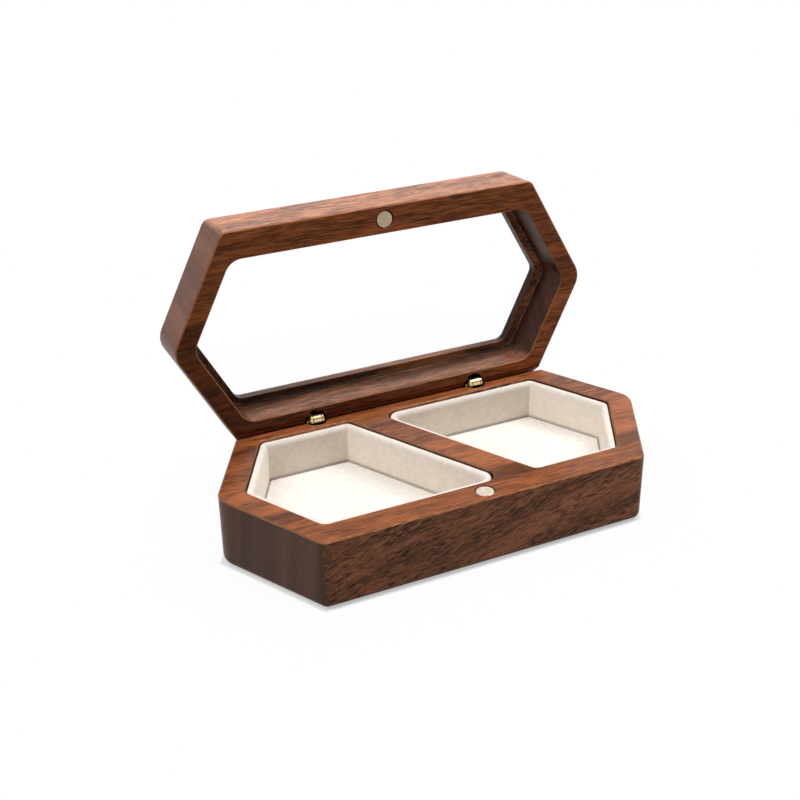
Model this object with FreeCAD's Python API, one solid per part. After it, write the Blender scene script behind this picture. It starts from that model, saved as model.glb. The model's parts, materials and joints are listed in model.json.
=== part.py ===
import FreeCAD, Part
import math
import os
from FreeCAD import Vector

# Hexagonal walnut box for two rings: a base with two slanting compartments, a framed glass lid on two
# barrel hinges, and a pair of disc magnets that hold it shut.
# Millimetres. +Z up, +X along the length, front at -Y. Origin: centre of the underside.
# The box is modelled shut and then its lid is swung open against its stop, the pose it rests in.

# Outline of base and lid, seen from above
LENGTH = 105.0            # tip to tip, corners taken sharp
WIDTH = 51.8              # front face to back face
FRONT_EDGE = 77.2         # straight front and back edges, corners taken sharp
TIP_RADIUS = 5.0          # upright edges at the two pointed ends
CORNER_RADIUS = 2.2       # upright edges at the four other corners

# Heights
BASE_HEIGHT = 16.6
LID_THICKNESS = 13.6
CLOSED_GAP = 0.2          # between base and lid when shut

# Edges of the wood
FOOT_ROUND = 1.8          # round the underside
LID_ROUND = 0.9           # round the lid's outer face
WINDOW_ROUND = 0.6        # round the window on the lid's outer face
EDGE_BREAK = 0.3          # sanded edges of the meeting faces

# Compartments in the base
LONG_RIM = 6.6            # wood along the front and the back, in base and lid
END_RIM = 5.65            # wood along the slanted ends of the base
BAR_WIDTH = 6.7           # slanting bar between the compartments
BAR_SHIFT = 0.35          # bar's middle, to the right of the box's
FLOOR_WOOD = 5.0          # wood under the compartments
POCKET_CORNER = 2.0       # upright corners of the compartments
POCKET_TIP = 2.8          # upright corner in the point of a compartment

# Compartment lining: velvet wrapped over card
LINER_GAP = 0.2           # wood to lining
LINER_BELOW_RIM = 0.5     # lining's top edge below the rim
LINER_TIP = 2.9           # back of the lining in the point, a little rounder than the wood there
CARD_THICKNESS = 0.8
PILE_FRONT = 0.5          # velvet on the face of a card
PILE_BACK = 0.3           # velvet turned over the back of a card
PILE_TOP = 0.6            # velvet over the top edge of a wall card
FACE_ROUND = 0.8          # top edge of the wall lining, towards the compartment
BACK_BREAK = 0.4          # top edge of the wall lining, towards the wood
PAD_GAP = 0.15            # wall lining to floor pad
PAD_CARD = 1.4            # floor card
PAD_PILE = 0.6            # velvet on the floor card
PAD_WRAP = 0.4            # velvet round the edge of the floor card
PAD_ROUND = 0.5           # top edge of the floor pad

# Lid window: a rebate that takes the pane from inside, and an outer lip
LID_END_RIM = 4.4         # wood along the slanted ends of the lid, on its meeting face
LEDGE = 1.85              # lip's reach past the rebate
LIP_THICKNESS = 3.0       # lip outside the pane
WINDOW_CORNER = 4.4       # upright corners of the rebate
PANE_THICKNESS = 2.0
PANE_GAP = 0.15           # pane to rebate
PANE_ARRIS = 0.25         # ground edges of the pane

# Barrel hinges: a fork on the base barrel, a tongue on the lid barrel, one pin
OPEN_ANGLE = 94.7         # lid at its stop, counted from shut
HINGE_SPACING = 42.2      # centre to centre
HINGE_SHIFT = 0.6         # middle of the pair, to the right of the box's
BARREL_DIAMETER = 5.0
BARREL_LENGTH = 7.0
BARREL_GLUE = 0.05        # barrel to bore, radially
BARREL_CLEAR = 0.12       # between the two barrels' rims at the stop
BARREL_CHAMFER = 0.3
KNUCKLE_INSET = 0.36      # knuckle's rounded ends, in from the barrel's surface
KNUCKLE_RADIUS = 1.55     # knuckle's round about the pin
TONGUE_WIDTH = 2.0
EAR_CLEAR = 0.2           # tongue to ear, each side
PIN_DIAMETER = 1.0
PIN_INSET = 0.1           # pin's ends in from the knuckle's ends
PIN_PRESS = 0.01          # pin to ear, radially
PIN_RUNNING = 0.04        # pin to tongue, radially

# Back bevels: cut in front of the hinge line, meeting at their outer edges when the lid is open
BEVEL_LEAD = 0.55         # bevel starts this far in front of the hinge line
STOP_CLEAR = 0.06         # between the bevels' outer edges at the stop

# Magnets, let into the middle of the front rims
MAGNET_DIAMETER = 4.0
MAGNET_THICKNESS = 2.0
MAGNET_CHAMFER = 0.12
MAGNET_GAP = 0.22         # magnet to its hole, radially
MAGNET_SINK = 0.16        # magnet below the wood

# Values worked out from the sizes above
HALF_LENGTH = LENGTH / 2
HALF_WIDTH = WIDTH / 2
SIDE_RUN = HALF_LENGTH - FRONT_EDGE / 2
SIDE_LENGTH = math.hypot(SIDE_RUN, HALF_WIDTH)
SIDE_X = HALF_WIDTH / SIDE_LENGTH        # outward normal of a slanted side
SIDE_Y = SIDE_RUN / SIDE_LENGTH
SIDE_OFFSET = SIDE_X * HALF_LENGTH

LID_FACE = BASE_HEIGHT + CLOSED_GAP
LID_TOP = LID_FACE + LID_THICKNESS
RIM_CENTRE = HALF_WIDTH - LONG_RIM / 2
HINGE_Y = RIM_CENTRE
HINGE_Z = BASE_HEIGHT + CLOSED_GAP / 2
HALF_OPEN = math.radians(OPEN_ANGLE / 2)

LINER_THICKNESS = PILE_FRONT + CARD_THICKNESS + PILE_BACK
LINER_TOP = BASE_HEIGHT - LINER_BELOW_RIM
PAD_INSET = LINER_GAP + LINER_THICKNESS + PAD_GAP
PAD_HEIGHT = PAD_CARD + PAD_PILE

BARREL_RADIUS = BARREL_DIAMETER / 2
PIN_RADIUS = PIN_DIAMETER / 2
KNUCKLE_END = BARREL_RADIUS - KNUCKLE_INSET
PIN_HALF = math.sqrt(KNUCKLE_END ** 2 - PIN_RADIUS ** 2) - PIN_INSET
BARREL_RECESS = BARREL_RADIUS * math.tan(HALF_OPEN) + BARREL_CLEAR
BORE_DEPTH = BARREL_RECESS + BARREL_LENGTH
BORE_RADIUS = BARREL_RADIUS + BARREL_GLUE

BEVEL_RUN = LONG_RIM / 2 + BEVEL_LEAD
BEVEL_DROP = LONG_RIM / 2 * math.tan(HALF_OPEN) + STOP_CLEAR - CLOSED_GAP / 2

MAGNET_RADIUS = MAGNET_DIAMETER / 2
LEVEL_TOLERANCE = 1e-4    # heights this close count as one level
X_AXIS = Vector(1, 0, 0)
Z_AXIS = Vector(0, 0, 1)


# Outlines: a side is (normal x, normal y, distance from the origin), listed anticlockwise

def box_sides(long_inset, end_inset):
    """The hexagon's six sides, moved in from the outside of the box."""
    long_side = HALF_WIDTH - long_inset
    end_side = SIDE_OFFSET - end_inset
    return [
        (0, -1, long_side),
        (SIDE_X, -SIDE_Y, end_side),
        (SIDE_X, SIDE_Y, end_side),
        (0, 1, long_side),
        (-SIDE_X, SIDE_Y, end_side),
        (-SIDE_X, -SIDE_Y, end_side),
    ]


def pocket_sides(side, inset):
    """The five sides of the left (-1) or right (+1) compartment, the pointed corner first.

    The right compartment is the left one turned half round, but for the bar, which stands off the middle.
    """
    front, _, _, back, back_left, front_left = box_sides(LONG_RIM + inset, END_RIM + inset)
    bar = (SIDE_X, SIDE_Y, -BAR_WIDTH / 2 - side * BAR_SHIFT - inset)
    left = [front, bar, back, back_left, front_left]
    return [(-side * x, -side * y, offset) for x, y, offset in left]


def hexagon_radii(tip, corner):
    """Corner radii in the order of box_sides: each belongs to the end of its side."""
    return [corner, tip, corner, corner, tip, corner]


def meeting_point(first, second):
    """Where the lines of two sides cross."""
    ax, ay, a = first
    bx, by, b = second
    det = ax * by - ay * bx
    return Vector((a * by - b * ay) / det, (ax * b - bx * a) / det, 0)


def rounded_face(sides, radii, z):
    """A flat face inside the sides, each corner sharp or turned by an arc tangent to both of its sides."""
    count = len(sides)
    starts, ends, bends = [], [], []
    for i in range(count):
        here, following = sides[i], sides[(i + 1) % count]
        corner = meeting_point(here, following)
        run_in = Vector(-here[1], here[0], 0)
        run_out = Vector(-following[1], following[0], 0)
        half_turn = run_in.getAngle(run_out) / 2
        tangent = radii[i] * math.tan(half_turn)
        inward = (run_out - run_in).normalize()
        bends.append(corner + inward * (radii[i] / math.cos(half_turn) - radii[i]))
        ends.append(corner - run_in * tangent)
        starts.append(corner + run_out * tangent)
    edges = []
    for i in range(count):
        edges.append(Part.LineSegment(starts[i - 1], ends[i]).toShape())
        if radii[i] > 0:
            edges.append(Part.Arc(ends[i], bends[i], starts[i]).toShape())
    face = Part.Face(Part.Wire(edges))
    face.translate(Vector(0, 0, z))
    return face


def prism(sides, radii, low, high):
    """An upright block with a rounded outline between two heights."""
    return rounded_face(sides, radii, low).extrude(Vector(0, 0, high - low))


def level_edges(shape, z):
    """The edges that lie wholly at one height."""
    def at_height(edge):
        box = edge.BoundBox
        return max(abs(box.ZMin - z), abs(box.ZMax - z)) < LEVEL_TOLERANCE
    return [edge for edge in shape.Edges if at_height(edge)]


def upright_cylinder(radius, low, high, x, y):
    return Part.makeCylinder(radius, high - low, Vector(x, y, low), Z_AXIS)


def chamfered_cylinder(radius, low, length, x, y, chamfer):
    """An upright cylinder with both rims chamfered."""
    shape = upright_cylinder(radius, low, low + length, x, y)
    return shape.makeChamfer(chamfer, level_edges(shape, low) + level_edges(shape, low + length))


def cross_cylinder(radius, half_length, x, y, z):
    """A cylinder along the length of the box, centred on a point."""
    return Part.makeCylinder(radius, 2 * half_length, Vector(x - half_length, y, z), X_AXIS)


def opened(shape):
    """Swings a piece of the shut lid back to its stop."""
    turned = shape.copy()
    turned.rotate(Vector(0, HINGE_Y, HINGE_Z), X_AXIS, -OPEN_ANGLE)
    return turned


def back_bevel(face_z, drop):
    """The wedge taken off the back edge of a meeting face; drop is negative into the base."""
    start = HINGE_Y - BEVEL_LEAD
    beyond = BEVEL_RUN + EDGE_BREAK
    slope = drop / BEVEL_RUN
    points = [
        Vector(-LENGTH, start - EDGE_BREAK, face_z - EDGE_BREAK * slope),
        Vector(-LENGTH, start + beyond, face_z + beyond * slope),
        Vector(-LENGTH, start + beyond, face_z - EDGE_BREAK * slope),
    ]
    wedge = Part.Face(Part.makePolygon(points + points[:1]))
    return wedge.extrude(Vector(2 * LENGTH, 0, 0))


def hinge_places():
    """Names and places along the length of the two hinges."""
    half = HINGE_SPACING / 2
    return (("left", HINGE_SHIFT - half), ("right", HINGE_SHIFT + half))


# Wooden pieces

def base_body():
    """One block of walnut: hexagon, rounded foot, two compartments, back bevel, bores and magnet hole."""
    block = prism(box_sides(0, 0), hexagon_radii(TIP_RADIUS, CORNER_RADIUS), 0, BASE_HEIGHT)
    block = block.makeFillet(FOOT_ROUND, level_edges(block, 0))
    block = block.cut(back_bevel(BASE_HEIGHT, -BEVEL_DROP))
    pocket_radii = [POCKET_TIP] + [POCKET_CORNER] * 4
    for side in (-1, 1):
        block = block.cut(prism(pocket_sides(side, 0), pocket_radii, FLOOR_WOOD, BASE_HEIGHT))
    block = block.makeChamfer(EDGE_BREAK, level_edges(block, BASE_HEIGHT))
    holes = [upright_cylinder(MAGNET_RADIUS + MAGNET_GAP, magnet_floor(), BASE_HEIGHT, 0, -RIM_CENTRE)]
    for _, x in hinge_places():
        holes.append(upright_cylinder(BORE_RADIUS, HINGE_Z - BORE_DEPTH, BASE_HEIGHT, x, HINGE_Y))
    return block.cut(holes)


def magnet_floor():
    """Floor of the base's magnet hole."""
    return BASE_HEIGHT - MAGNET_SINK - MAGNET_THICKNESS


def lid_frame():
    """One walnut frame: hexagon, rounded outer edge, rebate for the pane, lip, bevel, bores, magnet hole."""
    block = prism(box_sides(0, 0), hexagon_radii(TIP_RADIUS, CORNER_RADIUS), LID_FACE, LID_TOP)
    block = block.makeFillet(LID_ROUND, level_edges(block, LID_TOP))
    block = block.cut(back_bevel(LID_FACE, BEVEL_DROP))
    rebate = prism(box_sides(LONG_RIM, LID_END_RIM), [WINDOW_CORNER] * 6, LID_FACE, LID_TOP - LIP_THICKNESS)
    lip_inset = (LONG_RIM + LEDGE, LID_END_RIM + LEDGE)
    light = prism(box_sides(*lip_inset), [WINDOW_CORNER - LEDGE] * 6, LID_FACE, LID_TOP)
    block = block.cut(light)
    block = block.makeFillet(WINDOW_ROUND, window_edges(block))
    block = block.cut(rebate)
    block = block.makeChamfer(EDGE_BREAK, level_edges(block, LID_FACE))
    sink = MAGNET_SINK + MAGNET_THICKNESS
    holes = [upright_cylinder(MAGNET_RADIUS + MAGNET_GAP, LID_FACE, LID_FACE + sink, 0, -RIM_CENTRE)]
    for _, x in hinge_places():
        holes.append(upright_cylinder(BORE_RADIUS, LID_FACE, HINGE_Z + BORE_DEPTH, x, HINGE_Y))
    return opened(block.cut(holes))


def window_edges(shape):
    """The edges round the window on the lid's outer face."""
    reach = HALF_WIDTH - LONG_RIM
    end_reach = SIDE_OFFSET - LID_END_RIM

    def inside(edge):
        middle = edge.valueAt((edge.FirstParameter + edge.LastParameter) / 2)
        slant = SIDE_X * abs(middle.x) + SIDE_Y * abs(middle.y)
        return abs(middle.y) < reach and slant < end_reach
    return [edge for edge in level_edges(shape, LID_TOP) if inside(edge)]


def window_pane():
    """Clear pane with ground edges, dropped into the rebate against the lip."""
    outer = LID_TOP - LIP_THICKNESS
    sides = box_sides(LONG_RIM + PANE_GAP, LID_END_RIM + PANE_GAP)
    pane = prism(sides, [WINDOW_CORNER - PANE_GAP] * 6, outer - PANE_THICKNESS, outer)
    rims = level_edges(pane, outer) + level_edges(pane, outer - PANE_THICKNESS)
    return opened(pane.makeChamfer(PANE_ARRIS, rims))


# Compartment lining

def lining_block(side, inset, corner, top):
    """A block that fills a lined compartment to a height: a round tip and four corners of one radius."""
    tip = LINER_TIP - (inset - LINER_GAP)
    return prism(pocket_sides(side, inset), [tip] + [corner] * 4, FLOOR_WOOD, top)


def outer_block(side, inset, top):
    """A block whose corners follow the wood's."""
    return lining_block(side, inset, POCKET_CORNER - inset, top)


def folded_block(side, inset, top):
    """A block within the folded corners of the lining, which are sharp."""
    return lining_block(side, inset, 0, top)


def wall_card(side):
    """Card that stiffens the wall lining."""
    inset = LINER_GAP + PILE_BACK
    top = LINER_TOP - PILE_TOP
    return outer_block(side, inset, top).cut(folded_block(side, inset + CARD_THICKNESS, top))


def wall_velvet(side):
    """Velvet over the wall card: face, soft round top edge and turned-over back."""
    outside = outer_block(side, LINER_GAP, LINER_TOP)
    inside = folded_block(side, LINER_GAP + LINER_THICKNESS, LINER_TOP)
    wall = outside.makeChamfer(BACK_BREAK, level_edges(outside, LINER_TOP)).cut(inside)
    face_edges = [edge for edge in level_edges(wall, LINER_TOP)
                  if inside.isInside(edge.CenterOfMass, LEVEL_TOLERANCE, True)]
    return wall.makeFillet(FACE_ROUND, face_edges).cut(wall_card(side))


def floor_card(side):
    """Card under the floor velvet."""
    return folded_block(side, PAD_INSET + PAD_WRAP, FLOOR_WOOD + PAD_CARD)


def floor_velvet(side):
    """Velvet stretched over the floor card and down its edges."""
    top = FLOOR_WOOD + PAD_HEIGHT
    pad = folded_block(side, PAD_INSET, top)
    pad = pad.makeFillet(PAD_ROUND, level_edges(pad, top))
    return pad.cut(floor_card(side))


# Hinges and magnets

def barrel(low, x):
    return chamfered_cylinder(BARREL_RADIUS, low, BARREL_LENGTH, x, HINGE_Y, BARREL_CHAMFER)


def knuckle(x, root):
    """A post from a barrel's end at height root to the hinge line, round about the pin and at its ends."""
    low, high = sorted((root, HINGE_Z))
    post = upright_cylinder(KNUCKLE_END, low, high, x, HINGE_Y)
    ends = post.fuse(Part.makeSphere(KNUCKLE_END, Vector(x, HINGE_Y, HINGE_Z)))
    corner = Vector(x - KNUCKLE_END, HINGE_Y - KNUCKLE_RADIUS, low)
    cheeks = Part.makeBox(2 * KNUCKLE_END, 2 * KNUCKLE_RADIUS, high - low, corner)
    return ends.common(cheeks.fuse(cross_cylinder(KNUCKLE_RADIUS, KNUCKLE_END, x, HINGE_Y, HINGE_Z)))


def slab(x, half_width):
    """The middle of a knuckle: a block across the hinge line, longer and higher than the knuckle."""
    reach = BARREL_DIAMETER
    return Part.makeBox(2 * half_width, 2 * reach, 2 * reach,
                        Vector(x - half_width, HINGE_Y - reach, HINGE_Z - reach))


def pin_hole(x, clearance):
    return cross_cylinder(PIN_RADIUS + clearance, KNUCKLE_END, x, HINGE_Y, HINGE_Z)


def fork_barrel(x):
    """Base half of a hinge: barrel and the two outer parts of the knuckle, which hold the pin."""
    end = HINGE_Z - BARREL_RECESS
    slot = slab(x, TONGUE_WIDTH / 2 + EAR_CLEAR)
    fork = knuckle(x, end).cut([slot, pin_hole(x, PIN_PRESS)])
    return barrel(end - BARREL_LENGTH, x).fuse(fork).removeSplitter()


def tongue_barrel(x):
    """Lid half of a hinge: barrel and the middle part of the knuckle, which turns on the pin."""
    end = HINGE_Z + BARREL_RECESS
    tongue = knuckle(x, end).common(slab(x, TONGUE_WIDTH / 2)).cut(pin_hole(x, PIN_RUNNING))
    return opened(barrel(end, x).fuse(tongue).removeSplitter())


def hinge_pin(x):
    return cross_cylinder(PIN_RADIUS, PIN_HALF, x, HINGE_Y, HINGE_Z)


def disc_magnet(low):
    return chamfered_cylinder(MAGNET_RADIUS, low, MAGNET_THICKNESS, 0, -RIM_CENTRE, MAGNET_CHAMFER)


def all_pieces():
    """Every piece of the box under its own name."""
    pieces = {
        "base_body": base_body(),
        "lid_frame": lid_frame(),
        "window_pane": window_pane(),
        "base_magnet": disc_magnet(magnet_floor()),
        "lid_magnet": opened(disc_magnet(LID_FACE + MAGNET_SINK)),
    }
    for name, side in (("left", -1), ("right", 1)):
        pieces[name + "_wall_card"] = wall_card(side)
        pieces[name + "_wall_velvet"] = wall_velvet(side)
        pieces[name + "_floor_card"] = floor_card(side)
        pieces[name + "_floor_velvet"] = floor_velvet(side)
    for name, x in hinge_places():
        pieces[name + "_hinge_fork_barrel"] = fork_barrel(x)
        pieces[name + "_hinge_tongue_barrel"] = tongue_barrel(x)
        pieces[name + "_hinge_pin"] = hinge_pin(x)
    return pieces


os.makedirs("parts", exist_ok=True)
for node, piece in all_pieces().items():
    box = piece.BoundBox
    spans = (("x", box.XMin, box.XMax), ("y", box.YMin, box.YMax), ("z", box.ZMin, box.ZMax))
    extent = " ".join(f"{axis} {low:.1f}..{high:.1f}" for axis, low, high in spans)
    print(f"{node}: {len(piece.Solids)} solid, {piece.Volume:.1f} mm3, valid {piece.isValid()}, {extent}")
    piece.exportStep(f"parts/{node}.step")
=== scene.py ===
import json
import math

import bpy
import numpy as np
from mathutils import Matrix, Vector


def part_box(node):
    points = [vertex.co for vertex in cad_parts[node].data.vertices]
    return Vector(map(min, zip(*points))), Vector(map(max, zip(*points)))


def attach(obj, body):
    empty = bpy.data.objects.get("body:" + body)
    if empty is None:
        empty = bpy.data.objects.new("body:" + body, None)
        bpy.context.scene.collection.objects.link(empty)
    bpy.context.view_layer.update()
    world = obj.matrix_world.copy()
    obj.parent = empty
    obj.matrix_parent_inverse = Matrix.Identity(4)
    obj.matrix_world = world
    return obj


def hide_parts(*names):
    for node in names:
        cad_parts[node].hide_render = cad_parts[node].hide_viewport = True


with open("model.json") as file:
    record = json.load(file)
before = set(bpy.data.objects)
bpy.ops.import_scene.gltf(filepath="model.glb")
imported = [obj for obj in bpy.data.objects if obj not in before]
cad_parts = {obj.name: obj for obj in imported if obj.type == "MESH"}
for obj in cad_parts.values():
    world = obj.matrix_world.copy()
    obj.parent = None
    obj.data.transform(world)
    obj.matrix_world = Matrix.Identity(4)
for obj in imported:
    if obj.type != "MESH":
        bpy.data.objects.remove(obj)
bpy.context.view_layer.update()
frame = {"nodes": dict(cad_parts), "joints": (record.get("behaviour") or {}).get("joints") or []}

bl_info = {
    "name": "Hexagonal walnut ring box",
    "version": (1, 0, 0),
    "blender": (4, 5, 0),
    "location": "View3D > Sidebar > Ring box",
    "description": "Finishes the packed ring box, lines its compartments and sets it on a plain stage",
    "category": "Object",
}

MM = 0.001
NODES = frame["nodes"]

# Heights and turns that come from the frame
BASE_LOW, BASE_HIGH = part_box("base_body")
HALF_WIDTH = (BASE_HIGH.y - BASE_LOW.y) / 2
LINING_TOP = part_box("left_wall_velvet")[1].z
POCKET_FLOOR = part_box("left_wall_velvet")[0].z
PAD_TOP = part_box("left_floor_velvet")[1].z
LID_HINGE = next(joint for joint in frame["joints"] if joint["name"] == "lid_hinge")
LID_SWING = math.radians(LID_HINGE["range_deg"][1])
HINGE_PLACE = Vector(LID_HINGE["pos_m"])
BORE_LEFT, BORE_RIGHT = (sum(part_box(f"{side}_hinge_pin"), Vector()) / 2 for side in ("left", "right"))
BORE_MIDDLE = (BORE_LEFT + BORE_RIGHT) / 2
BORE_SPACING = BORE_RIGHT.x - BORE_LEFT.x
BORE_DEPTH = HINGE_PLACE.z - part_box("left_hinge_fork_barrel")[0].z + 0.3 * MM

# Compartment outline, the same driving sizes as the solids have
HALF_LENGTH = 52.5 * MM       # half tip to tip, corners taken sharp
HALF_FRONT = 38.6 * MM        # half the straight front edge, corners taken sharp
LONG_RIM = 6.6 * MM           # wood along the front and the back
END_RIM = 5.65 * MM           # wood along the slanted ends
BAR_WIDTH = 6.7 * MM          # slanting bar between the compartments
BAR_SHIFT = 0.35 * MM         # bar's middle, to the right of the box's
POCKET_CORNER = 2.0 * MM      # upright corners of the compartments
BORE_RADIUS = 2.56 * MM       # wood seen inside the hinge bores
LINING_GAP = 0.2 * MM         # wood to lining
LINING_TIP = 2.9 * MM         # back of the lining in the pointed corner
LINING_THICKNESS = 1.6 * MM   # velvet, card and velvet
PAD_INSET = 1.95 * MM         # wood to floor pad
SEAM_HEIGHT = 0.5 * MM        # dark foot of the wall lining, above the floor pad

# The two blocks of walnut, with the traits that oiled_walnut explains
BLOCKS = {
    "base": {
        "turn": 0.0, "slope": math.radians(14), "stretch": 1.0, "shift": (-171.0, 27.0, -48.3),
        "shade": 1.0, "outer_side_light": 1.0, "back_shade": 0.2, "end": "#A6B8DA", "waxed": "Z", "wax": 0.55},
    "lid": {
        "turn": LID_SWING, "slope": math.radians(1), "stretch": 1.8, "shift": (-246.2, -53.1, 49.2),
        "shade": 0.88, "outer_side_light": 1.45, "back_shade": 1.0, "end": "#CBC6CC", "waxed": "Y", "wax": 0.24},
}

# Grain: lengths along the tree and widths across it, in mm
WAVES = (30.0, 16.0, 16.0)        # the grain wanders up and down
BENDS = (60.0, 26.0, 26.0)        # the growth rings bend
BLOTCHES = (6.0, 1.0, 1.0)        # soft light and dark patches
FIBRES = (3.0, 0.26, 0.26)        # thin streaks
FLECKS = (1.2, 0.22, 0.22)        # short streaks
CROWDS = (16.0, 5.0, 5.0)         # groups of pores
RING_BEND = 22.0                  # how far the growth rings bend
RING_WAY = (0.0, 1.0, 0.8)        # across the growth rings
END_RING_WAY = (0.0, 0.2, 0.02)   # across the rings in the end grain, one in 5 mm
BACK_SHADE_WAY = (-0.35 / MM, 0.8 / MM, 0.0)  # towards the painted shade, at the back left

# Tone of the wood: weights of bands, blotches, fibres and flecks, and their sums in dark and pale wood
TONE_WEIGHTS = (3.0, 1.0, 1.6, 1.6)
TONE_DARK, TONE_LIGHT = 3.15, 4.05
LEVEL_STRETCH = 2.2               # how far streaks are drawn out on level faces
NOISE_LOW, NOISE_HIGH = 0.3, 0.7  # most of a noise lies between these

# Softboxes: place and side in metres, power in watts
SOFTBOXES = {
    "softbox_top": ((0.0, 0.0, 0.5), 0.3, 0.6),
    "softbox_sky": ((0.0, 0.0, 0.5), 0.7, 0.74),
    "softbox_left": ((-0.3, 0.0, 0.42), 0.25, 0.9),
    "softbox_right": ((0.3, 0.0, 0.42), 0.25, 1.25),
}

# Width of the dark line that the box's rounded foot throws on the floor
CONTACT_REACH = 0.7 * MM

# Sky of the backdrop: where its fade starts and ends, as the sine of the height angle, and how bright it ends
FADE_START, FADE_END, FADE_LEVEL = 0.46, 0.58, 0.3

# Unevenness of the velvet: turns round a wall, number and lengths in mm of the waves on a pad, and seeds
WALL_TURNS = range(4, 40, 5)
PAD_WAVES = 9
PAD_WAVE_LENGTHS = (4, 13)
WALL_SEED, SAG_SEED, PAD_SEED = 11, 21, 31

# Grid of the velvet pieces
CORNER_POINTS = 9
SIDE_POINTS = 44
ROUND_POINTS = 8
FACE_POINTS = 14
CENTRE_RINGS = 26


def linear(code):
    """Turns an sRGB hex colour into linear red, green and blue by the sRGB curve."""
    parts = [int(code[i:i + 2], 16) / 255 for i in (1, 3, 5)]
    return tuple(v / 12.92 if v <= 0.04045 else ((v + 0.055) / 1.055) ** 2.4 for v in parts)


def opaque(colour):
    """A colour as a shader socket takes it."""
    return (*colour, 1.0)


# Settings that a user would change

def colour_setting(name, description, code):
    return bpy.props.FloatVectorProperty(
        name=name, description=description, subtype="COLOR", size=3, min=0, max=1, default=linear(code))


def length_setting(name, description, default):
    return bpy.props.FloatProperty(
        name=name, description=description, subtype="DISTANCE", unit="LENGTH", min=0, default=default)


def angle_setting(name, description, degrees):
    return bpy.props.FloatProperty(
        name=name, description=description, subtype="ANGLE", unit="ROTATION", default=math.radians(degrees))


def share_setting(name, description, default):
    return bpy.props.FloatProperty(
        name=name, description=description, subtype="FACTOR", min=0, max=1, default=default)


class WalnutSettings(bpy.types.PropertyGroup):
    """Look of the wood"""
    light: colour_setting("Light bands", "Palest wood between the growth rings", "#D18A63")
    dark: colour_setting("Dark bands", "Darkest wood in the growth rings", "#754A33")
    pore: colour_setting("Pores", "Dark dashes where the pores are cut open", "#1C1009")
    # Partly painted shade: the level faces get the wood's own redder colour and are darkened against the light
    # from above
    level_shade_tint: colour_setting("Planed faces", "Tint of the level faces, redder than the sides", "#E0C5A1")
    # Painted shade: darkens the level faces towards the back left
    back_shade_tint: colour_setting("Heartwood", "Tint of the darker wood towards the back", "#A99E97")
    # Partly painted shade: end grain on inward faces is darker, from the router's cut and from painted shade
    routed_and_shaded: colour_setting("Routed wood", "Tint of the end grain cut by a router", "#7E6A5A")
    # Painted shade: the wood inside the hinge bores is darkened to near black
    bore_shade_tint: colour_setting("Bores", "Tint of the wood inside the hinge bores", "#30302E")
    # Partly a painted highlight: the broken edges are paler from wear and from a painted highlight
    edge: colour_setting("Sanded edges", "Wood of the broken edges, rubbed paler", "#CB8A5C")
    ring_spacing: length_setting("Ring spacing", "Width of one growth ring", 7.0 * MM)
    wander: length_setting("Wander", "How far the grain wanders up and down along its length", 1.8 * MM)
    pore_length: length_setting("Pore length", "Spacing of the pore dashes along the grain", 3.2 * MM)
    pore_width: length_setting("Pore width", "Spacing of the dashes across it, drawn coarse", 0.34 * MM)
    satin: share_setting("Roughness", "Roughness of the oil finish", 0.34)


class VelvetSettings(bpy.types.PropertyGroup):
    """Shape and look of the compartment lining"""
    # Painted shade: the walls are the same velvet as the floor pads, coloured darker and more saturated
    shaded_wall_light: colour_setting("Wall, pile flat", "Wall velvet where its pile lies flat", "#FFF5E9")
    shaded_wall_dark: colour_setting("Wall, pile up", "Wall velvet where its pile stands up", "#DFD4C7")
    floor_light: colour_setting("Floor, pile flat", "Floor velvet where its pile lies flat", "#FFFCF8")
    floor_dark: colour_setting("Floor, pile up", "Floor velvet where its pile stands up", "#F4EDE4")
    # Painted shade along the seam between wall and floor
    seam: colour_setting("Seam", "Shade of the seam between wall and floor", "#5A4A40")
    top_round: length_setting("Top edge", "Radius of the lining's top edge, compartment side", 1.15 * MM)
    back_round: length_setting("Back edge", "Radius of the lining's top edge, wood side", 0.4 * MM)
    fold: length_setting("Folded corners", "Radius of the lining's folded upright corners", 0.45 * MM)
    ripple: length_setting("Unevenness", "How far the cloth wanders in and out over the card", 0.05 * MM)
    pad_round: length_setting("Pad edge", "Radius of the floor pad's top edge", 0.6 * MM)
    pad_crown: length_setting("Pad crown", "How far the floor pad's edge lies below its middle", 0.12 * MM)
    pile: length_setting("Pile tufts", "Size of a tuft of pile, drawn coarse so that it shows", 0.32 * MM)
    brushing: length_setting("Brush marks", "Size of the patches where the pile lies one way", 1.3 * MM)


class FittingSettings(bpy.types.PropertyGroup):
    """Look of the hinges, magnets, pane and card"""
    brass: colour_setting("Brass", "Polished brass of the hinges", "#EADBAF")
    nickel: colour_setting("Nickel", "Nickel plate of the base magnet", "#ECE2D4")
    # Painted shade: the lid magnet has the same nickel as the base magnet, coloured darker
    shaded_nickel: colour_setting("Worn nickel", "Nickel plate of the lid magnet, dulled", "#B09C86")
    glass: colour_setting("Glass", "Tint of the pane", "#FFFFFF")
    glass_edge: colour_setting("Glass edge", "Tint of the ground edges of the pane", "#8FA094")
    card: colour_setting("Card", "Grey card inside the lining", "#A39A8E")


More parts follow.
